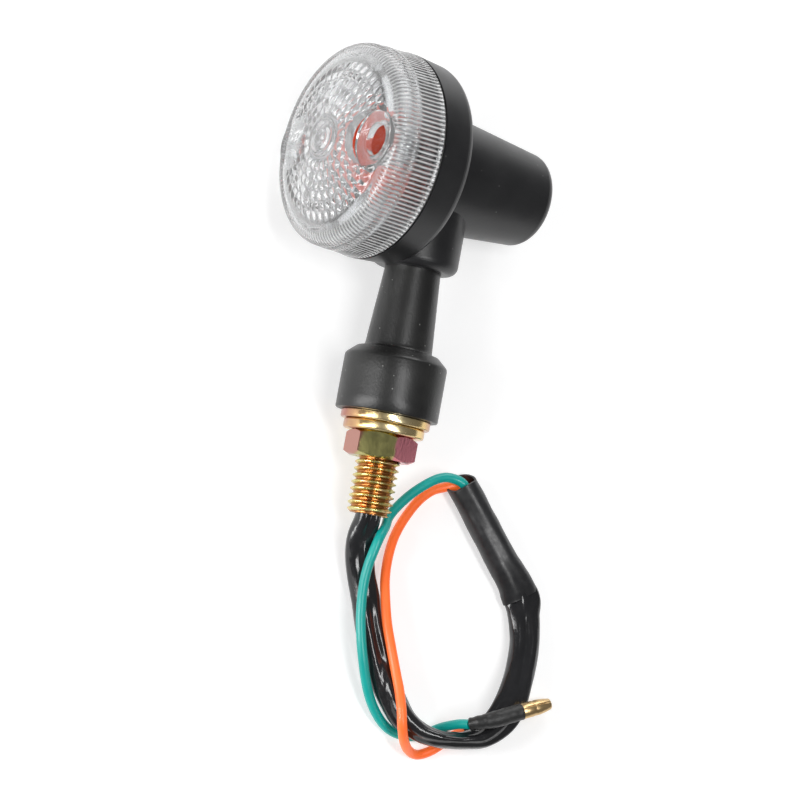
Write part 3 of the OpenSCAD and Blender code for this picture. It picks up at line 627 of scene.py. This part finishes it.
def lens_outside():
    rows = []
    steps = 62
    for i in range(1, steps + 1):                       # the domed face
        r = DOME_R * i / steps
        rows.append([(r, DOME_MID - math.sqrt(DOME_BALL ** 2 - r * r), "face")])
    ring = FRONT_R - CORNER
    for i in range(1, 4):
        rows.append([(DOME_R + (ring - DOME_R) * i / 3, LENS_FRONT, "ring")])
    for r, z in arc(ring, LENS_FRONT + CORNER, CORNER, -90, 0, 10)[1:]:
        rows.append([(r, z, "corner")])
    for t in (0.06, 0.12, 0.17, 0.20, 0.23, 0.27, 0.31, 0.34, 0.37, 0.45, 0.55, 0.65, 0.75, 0.82, 0.86,
              0.89, 0.92, 0.94, 0.96, 1.0):
        rows.append([(FRONT_R + (HEAD_R - FRONT_R) * t, LENS_FRONT + CORNER + SIDE_LEN * t, t)])
    verts, faces = [(0, 0, DOME_MID - DOME_BALL - face_relief(0, 0))], []
    for row in rows:
        r, z, kind = row[0]
        for j in range(FINE):
            a = 2 * math.pi * j / FINE
            rr, zz = r, z
            if kind == "face":
                zz = z - face_relief(r, a)
            elif kind == "corner":
                swell = math.sin(math.pi * min(1.0, (z - LENS_FRONT) / CORNER))
                rr = r - 0.20 * flute(a) * swell - 0.05
            elif kind != "ring":
                if kind <= 0.20 or 0.34 <= kind <= 0.90:
                    rr = r - 0.34 * flute(a)
                elif kind < 0.34:
                    rr = r - 0.02
                else:
                    rr = r - 0.12 if kind < 0.955 else r
            verts.append((rr * math.cos(a), rr * math.sin(a), zz))
    for j in range(FINE):
        faces.append((0, 1 + (j + 1) % FINE, 1 + j))
    faces += grid_faces(len(rows), FINE, first=1)
    faces.append(tuple(range(1 + (len(rows) - 1) * FINE, 1 + len(rows) * FINE)))
    return verts, faces


def solid_turned(outline, sides):
    """A solid turned about Z from an outline that starts and ends on the axis."""
    verts, faces, n = [], [], len(outline)
    verts += [(0, 0, outline[0][1]), (0, 0, outline[-1][1])]
    inner = outline[1:-1]
    for r, z in inner:
        verts += [(r * math.cos(2 * math.pi * j / sides), r * math.sin(2 * math.pi * j / sides), z)
                  for j in range(sides)]
    for j in range(sides):
        k = (j + 1) % sides
        faces.append((0, 2 + k, 2 + j))
        faces.append((1, 2 + (len(inner) - 1) * sides + j, 2 + (len(inner) - 1) * sides + k))
    faces += grid_faces(len(inner), sides, first=2)
    return verts, faces


def cavity_outline():
    ball = DOME_BALL - WALL
    out = [(0, DOME_MID - ball)]
    for i in range(1, 13):
        a = math.asin(DOME_R / DOME_BALL) * i / 12
        out.append((ball * math.sin(a), DOME_MID - ball * math.cos(a)))
    out += arc(FRONT_R - CORNER, LENS_FRONT + CORNER, CORNER - WALL, -90, 0, 5)
    out += [(HEAD_R - WALL, LENS_BACK + 3.0), (0, LENS_BACK + 3.0)]
    return out


TUBE_R, DISH_R = 3.45, 6.2
RIM_Z = LENS_FRONT - 0.35                               # the dish's rim stands just proud of the front ring
TUBE_FLOOR = -18.5


def well_outline():
    """The opening cut into each boss: a shallow dish that leads to a straight tube."""
    dish = [(DISH_R - (DISH_R - TUBE_R - 0.35) * t, RIM_Z + 0.55 * math.sin(math.pi / 2 * t))
            for t in (0.0, 0.2, 0.4, 0.6, 0.8, 1.0)]
    lip = [(TUBE_R + 0.15, RIM_Z + 0.7), (TUBE_R, RIM_Z + 1.0)]
    return [(0, RIM_Z - 4), (DISH_R, RIM_Z - 4)] + dish + lip + [(TUBE_R, TUBE_FLOOR), (0, TUBE_FLOOR)]


def boss_outline():
    """What stands round each opening: a short cone with a rounded rim, then the tube's wall."""
    rim_r, wall_r = DISH_R + 0.75, TUBE_R + 1.1
    return [(0, RIM_Z), (DISH_R + 0.05, RIM_Z), (DISH_R + 0.3, RIM_Z + 0.2), (rim_r, LENS_FRONT + 0.6),
            (rim_r, LENS_FRONT + 1.4), (wall_r, LENS_FRONT + 2.6), (wall_r, TUBE_FLOOR + 1.1),
            (0, TUBE_FLOOR + 1.1)]


lens = add_mesh("lens_moulding", *lens_outside(), CLEAR, 50.0, AXIS)
cavity = add_mesh("cavity", *solid_turned(cavity_outline(), 180), None, 40.0, AXIS)
wells = [AXIS @ Matrix.Translation((side * SCREW_X * MM, 0, 0)) for side in (-1, 1)]
boolean(lens, cavity)
for place in wells:
    boolean(lens, add_mesh("boss", *solid_turned(boss_outline(), 72), None, 40.0, place), "UNION")
for place in wells:
    boolean(lens, add_mesh("well", *solid_turned(well_outline(), 72), None, 40.0, place))
shade(lens, 50.0)


def lens_zone(c):
    """Which worked surface of the lens a place on it belongs to: 0 is plain clear plastic."""
    r = math.hypot(c.x, c.y)
    well = min(math.hypot(c.x - SCREW_X, c.y), math.hypot(c.x + SCREW_X, c.y))
    if TUBE_R - 0.05 < well < DISH_R + 0.85 and c.z < LENS_FRONT + 0.7 and c.z > RIM_Z - 0.05:
        return 2
    if r < 18.6 and c.z < DOME_MID - math.sqrt(DOME_BALL ** 2 - r * r) + 0.3:
        return 1
    if r < 20.2 and c.z < LENS_FRONT + 0.3:
        return 3
    if r > 22.0 and c.z > LENS_FRONT + CORNER + SIDE_LEN * 0.3:
        return 5
    return 4 if r > 21.9 or c.z < LENS_FRONT + 1.5 and r > 20.0 else 0


for zone in (FACE, BOWL, RING, BEADED, FLUTED):
    lens.data.materials.append(zone)
to_local = AXIS.inverted()
# ridge is 0 in a flute's groove and 1 on its crest; the lens materials paint shade into the grooves from it.
ridge = lens.data.attributes.new("ridge", "FLOAT", "POINT")
for i, v in enumerate(lens.data.vertices):
    c = to_local @ v.co
    ridge.data[i].value = 1 - flute(math.atan2(c.y, c.x)) ** 1.3
for p in lens.data.polygons:
    p.material_index = lens_zone(to_local @ p.center / MM)
finish_piece(lens, "lens", "lens_clear", "lens")

spigot = turned([(20.0, LENS_BACK + 0.02), (21.2, LENS_BACK + 0.02), (21.2, -11.95), (20.0, -11.95)], 144)
lens_spigot = add_mesh("lens_spigot", *spigot, CLEAR, 40.0, AXIS)
finish_piece(lens_spigot, "lens", "lens_clear")
for side, label in ((-1, "left"), (1, "right")):
    post = turned([(1.75, -17.65), (4.4, -17.65), (4.4, -12.15), (1.75, -12.15)], 48)
    place = AXIS @ Matrix.Translation((side * SCREW_X * MM, 0, 0))
    finish_piece(add_mesh("lens_post_" + label, *post, CLEAR, 40.0, place), "lens", "lens_clear")

# ---------------------------------------------------------------- rubber stem and the leads inside it
COLLAR = [(3.2, 9.0), (3.2, 0.3), (3.5, 0.0), (10.9, 0.0), (11.35, 0.10), (11.5, 0.35), (11.5, 3.0),
          (11.5, 6.0), (11.5, 9.0), (11.5, 11.9), (11.4, 12.3), (11.15, 12.65)]
SHOULDER = [(11.15 - 1.75 * t, 12.65 + 1.55 * t) for t in (0.25, 0.5, 0.75, 1.0)]
FILLET = [(9.1, 14.42), (8.6, 14.55), (8.1, 14.62), (7.75, 14.78), (7.56, 15.1)]
NECK = [(7.5 - 1.25 * i / 16, 15.6 + 17.4 * i / 16) for i in range(17)]
STEM_TOP = [(6.25, 37.85), (4.0, 37.85), (4.0, 26.0), (3.2, 25.9)]
stem_verts, stem_faces = turned(COLLAR + SHOULDER + FILLET + NECK + STEM_TOP, 96)
rubber = add_mesh("stem_rubber", stem_verts, stem_faces, RUBBER, 35.0, LAMP)
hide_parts("rubber_stem")
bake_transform(rubber)

INNER_R = 0.75
INNER_PLACES = [(17.8, 55), (19.6, 54.6), (20.4, 51.6), (19.6, 48), (17.6, 46.2), (14.8, 45.9), (9, 45.6),
                (5, 45.4), (2.2, 45.1), (0.6, 44), (0, 41.5), (0, 33), (0, 24), (0, 16), (0, 8), (0, -5),
                (0, -19)]
for side, colour, mat in ((-1.2, "green", GREEN), (1.2, "orange", ORANGE)):
    route = [[side, y, s, INNER_R, INNER_R] for y, s in INNER_PLACES]
    rings, line = sweep(route, 120, 10)
    lead = add_mesh("inner_" + colour, *tube_mesh(rings), mat, 60.0, LAMP)
    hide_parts("inner_lead_" + colour)
    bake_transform(lead)

# ---------------------------------------------------------------- stud and its fixings
PITCH, STUD_R, ROOT_R, BORE_R, STUD_END = 1.5, 5.0, 4.12, 3.1, -22.2


def thread_radius(s, a):
    f = (s / PITCH - a / (2 * math.pi)) % 1.0
    lift = max(0.0, min(1.0, (abs(f - 0.5) * 2 - 0.22) / 0.62))
    r = ROOT_R + (STUD_R - ROOT_R) * lift
    return min(r, 4.25 + (s - STUD_END) * 0.9)


def stud_mesh():
    sides, top = 72, 2.5
    levels = int((top - STUD_END) / (PITCH / 12))
    rows = []
    for k in range(levels + 1):
        s = STUD_END + (top - STUD_END) * k / levels
        rows.append([(thread_radius(s, 2 * math.pi * j / sides), s) for j in range(sides)])
    for r, s in ((8.4, 2.5), (8.5, 2.6), (8.5, 5.4), (8.4, 5.5), (5.0, 5.5), (5.0, 9.0), (BORE_R, 9.0),
                 (BORE_R, -5.0), (BORE_R, STUD_END + 0.15), (BORE_R + 0.15, STUD_END)):
        rows.append([(r, s)] * sides)
    verts = [(r * math.cos(2 * math.pi * j / sides), r * math.sin(2 * math.pi * j / sides), s)
             for row in rows for j, (r, s) in enumerate(row)]
    faces = grid_faces(len(rows), sides)
    last = (len(rows) - 1) * sides
    faces += [(last + j, last + (j + 1) % sides, (j + 1) % sides, j) for j in range(sides)]
    return verts, faces


stud = add_mesh("stud_threaded", *stud_mesh(), ZINC_STUD, 38.0, LAMP)
groove = stud.data.attributes.new("groove", "FLOAT", "POINT")
to_lamp = LAMP.inverted()
for i, v in enumerate(stud.data.vertices):
    c = to_lamp @ v.co / MM
    groove.data[i].value = max(0.0, (math.hypot(c.x, c.y) - ROOT_R) / (STUD_R - ROOT_R))
finish_piece(stud, "stem", "yellow_zinc", "hollow_stud")

WASHER_T, LOCK_T = 1.9, 2.2
flat = [(5.25, -WASHER_T + 0.2), (5.45, -WASHER_T)] + arc(9.6, -WASHER_T + 0.4, 0.4, -90, 0, 5) \
    + arc(9.75, -0.25, 0.25, 0, 90, 4) + [(5.45, -0.02), (5.25, -0.2)]
finish_piece(add_mesh("washer_flat", *turned(flat, 128), ZINC_WASHER, 40.0, LAMP),
             "washers", "yellow_zinc", "flat_washer")


def lock_washer():
    """A split ring of rounded section whose ends stand a little apart."""
    bore = [(5.3, 0.0), (5.12, -0.2), (5.12, 0.25 - LOCK_T), (5.3, 0.05 - LOCK_T)]
    section = arc(8.55, -0.5, 0.5, 0, 90, 4) + bore + arc(8.55, 0.55 - LOCK_T, 0.5, -90, 0, 4)
    n, rings, gap = len(section), 120, 7.0
    verts = []
    for k in range(rings):
        a = math.radians(200.0 + gap / 2 + (360.0 - gap) * k / (rings - 1))
        tip = -0.05 + 0.05 * (2 * k / (rings - 1) - 1)
        verts += [(r * math.cos(a), r * math.sin(a), z - WASHER_T - 0.02 + tip * 0.5) for r, z in section]
    faces = [(k * n + i, k * n + (i + 1) % n, (k + 1) * n + (i + 1) % n, (k + 1) * n + i)
             for k in range(rings - 1) for i in range(n)]
    faces += [tuple(range(n - 1, -1, -1)), tuple(range((rings - 1) * n, rings * n))]
    return verts, faces


finish_piece(add_mesh("washer_lock", *lock_washer(), ZINC_WASHER, 40.0, LAMP),
             "washers", "yellow_zinc", "spring_washer")


def paint(node, material, angle=35.0, bevel=0.0):
    obj = frame["nodes"][node]
    obj.data.materials.clear()
    obj.data.materials.append(material)
    if bevel:
        mod = obj.modifiers.new("edge", "BEVEL")
        mod.width = bevel * MM
        mod.segments = 2
        mod.limit_method = "ANGLE"
        mod.angle_limit = math.radians(angle)
        mod.harden_normals = False
    return obj


paint("hex_nut", ZINC_NUT, 25.0, 0.14)
FINISHES = {"housing": BLACK, "lens_gasket": GASKET, "lens_screws": STEEL, "reflector": MIRROR,
            "bulb_glass": AMBER, "bulb_cap": BRASS, "bulb_contact": SOLDER, "bulb_filament": TUNGSTEN,
            "lamp_socket": STEEL, "plunger_disc": FIBRE, "contact_plunger": BRASS, "stem_tube": STEEL,
            "stem_tube_washer": STEEL, "stem_tube_nut": ZINC_NUT}
for node, finish in FINISHES.items():
    paint(node, finish)

# ---------------------------------------------------------------- the coil behind the contact plunger
SPRING_Z = (11.8, 16.5)
COILS, COIL_R, COIL_WIRE, COIL_STEPS = 4.0, 4.05, 0.42, 96
coil_rows = []
for k in range(COIL_STEPS + 1):
    t = k / COIL_STEPS
    a = 2 * math.pi * COILS * t
    z = SPRING_Z[0] + COIL_WIRE + (SPRING_Z[1] - SPRING_Z[0] - 2 * COIL_WIRE) * t
    coil_rows.append([COIL_R * math.cos(a), COIL_R * math.sin(a), z, COIL_WIRE, COIL_WIRE])
rings, line = sweep(coil_rows, 192, 8)
coil = add_mesh("contact_coil", *tube_mesh(rings), SPRING, 60.0, AXIS)
finish_piece(coil, "head", "spring_steel", "contact_spring")
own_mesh(coil)

# ---------------------------------------------------------------- floor and light
floor_mat = moulded("floor_white", (0.60, 0.60, 0.60), (0.62, 0.62, 0.62), 0.8, 300.0, 0.00005)
floor_skin = floor_mat.node_tree.nodes["Principled BSDF"]
floor_skin.inputs["Emission Color"].default_value = (1, 1, 1, 1)
floor_skin.inputs["Emission Strength"].default_value = 0.55
floor_skin.inputs["Specular IOR Level"].default_value = 0.0
HALF = 2.0
corners = [(-HALF, -HALF, 0), (HALF, -HALF, 0), (HALF, HALF, 0), (-HALF, HALF, 0)]
floor = add_mesh("floor", corners, [(0, 1, 2, 3)], floor_mat, 40.0, scale=1.0)
floor.location.z = -0.0002

world = bpy.data.worlds.new("studio")
world.use_nodes = True
world.node_tree.nodes["Background"].inputs["Color"].default_value = (0.97, 0.98, 1.0, 1)
world.node_tree.nodes["Background"].inputs["Strength"].default_value = 0.18
bpy.context.scene.world = world


def softbox(name, place, aim, wide, high, watts):
    data = bpy.data.lights.new(name, "AREA")
    data.shape = "RECTANGLE"
    data.size, data.size_y, data.energy = wide, high, watts
    obj = bpy.data.objects.new(name, data)
    bpy.context.scene.collection.objects.link(obj)
    obj.location = place
    obj.rotation_euler = (Vector(aim) - Vector(place)).to_track_quat("-Z", "Y").to_euler()


MIDDLE = (0.02, 0.0, 0.02)
softbox("left", (0.14, -0.52, 0.24), MIDDLE, 0.15, 0.50, 2.7)
softbox("overhead", (0.12, 0.09, 0.62), MIDDLE, 0.10, 0.40, 1.8)
softbox("behind", (-0.58, 0.10, 0.26), MIDDLE, 0.45, 0.25, 1.8)
bpy.context.scene.view_settings.view_transform = "Standard"
